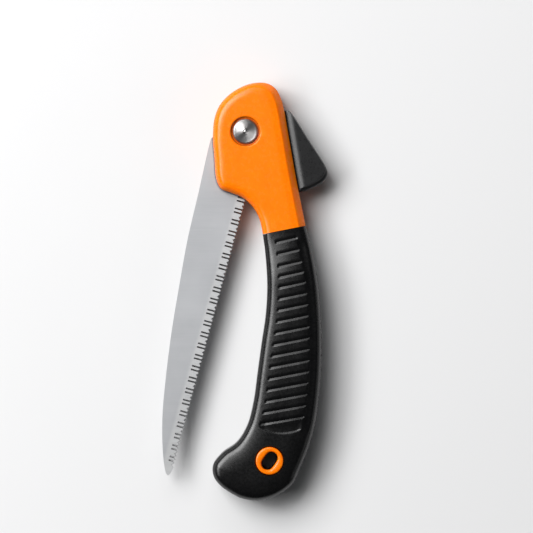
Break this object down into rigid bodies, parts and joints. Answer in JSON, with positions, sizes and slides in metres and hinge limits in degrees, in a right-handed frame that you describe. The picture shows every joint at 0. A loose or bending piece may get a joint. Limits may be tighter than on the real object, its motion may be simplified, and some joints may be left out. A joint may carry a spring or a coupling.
{
  "type": "folding pruning saw",
  "caption": "Folding pruning saw with a straight-edged toothed steel blade, a curved orange handle with ribbed black grips, a thumb lever lock and a hanging eyelet.",
  "frame": {"origin": "middle of the saw's outline, on the surface that it lies on, in the partly opened pose", "axes": "+X from the blade's side towards the thumb lever's side, +Y along the handle towards the head with the pivot, +Z through the handle's thickness towards the face with the bolt's head"},
  "size_m": [0.0912, 0.2294, 0.0232],
  "materials": {
    "orange_plastic": "satin moulded nylon",
    "soft_grip": "satin soft-touch elastomer",
    "black_plastic": "fine-textured moulded nylon",
    "blade_steel": "satin ground",
    "bright_steel": "turned and polished",
    "zinc_steel": "zinc plated"
  },
  "bodies": {
    "handle": {"core_front": "orange_plastic", "core_rear": "orange_plastic", "grip_front": "soft_grip", "grip_rear": "soft_grip", "pivot_bolt": "bright_steel", "bolt_washer": "zinc_steel", "pivot_bush": "zinc_steel", "washer_front": "zinc_steel", "washer_rear": "zinc_steel", "nut_washer": "zinc_steel", "pivot_nut": "zinc_steel", "lever_pin": "zinc_steel", "stop_pin": "zinc_steel", "lever_spring": "zinc_steel", "handle_screw_1": "zinc_steel", "handle_screw_2": "zinc_steel", "handle_screw_3": "zinc_steel"},
    "blade": {"blade": "blade_steel"},
    "lever": {"lock_lever": "black_plastic", "lock_pawl": "blade_steel", "pawl_rivet": "zinc_steel"}
  },
  "joints": [
    {"name": "blade_pivot", "type": "hinge", "parent": "handle", "child": "blade", "pos_m": [0.00026, 0.08775, 0.0116], "axis": [0, 0, 1], "range_deg": [-159.5, 20.5]},
    {"name": "lever_press", "type": "hinge", "parent": "handle", "child": "lever", "pos_m": [0.01877, 0.07125, 0.0116], "axis": [0, 0, -1], "range_deg": [-6.5, 6], "stiffness_Nm_per_rad": 0.5, "springref_deg": -20.05, "deforming": ["lever_spring"]}
  ]
}
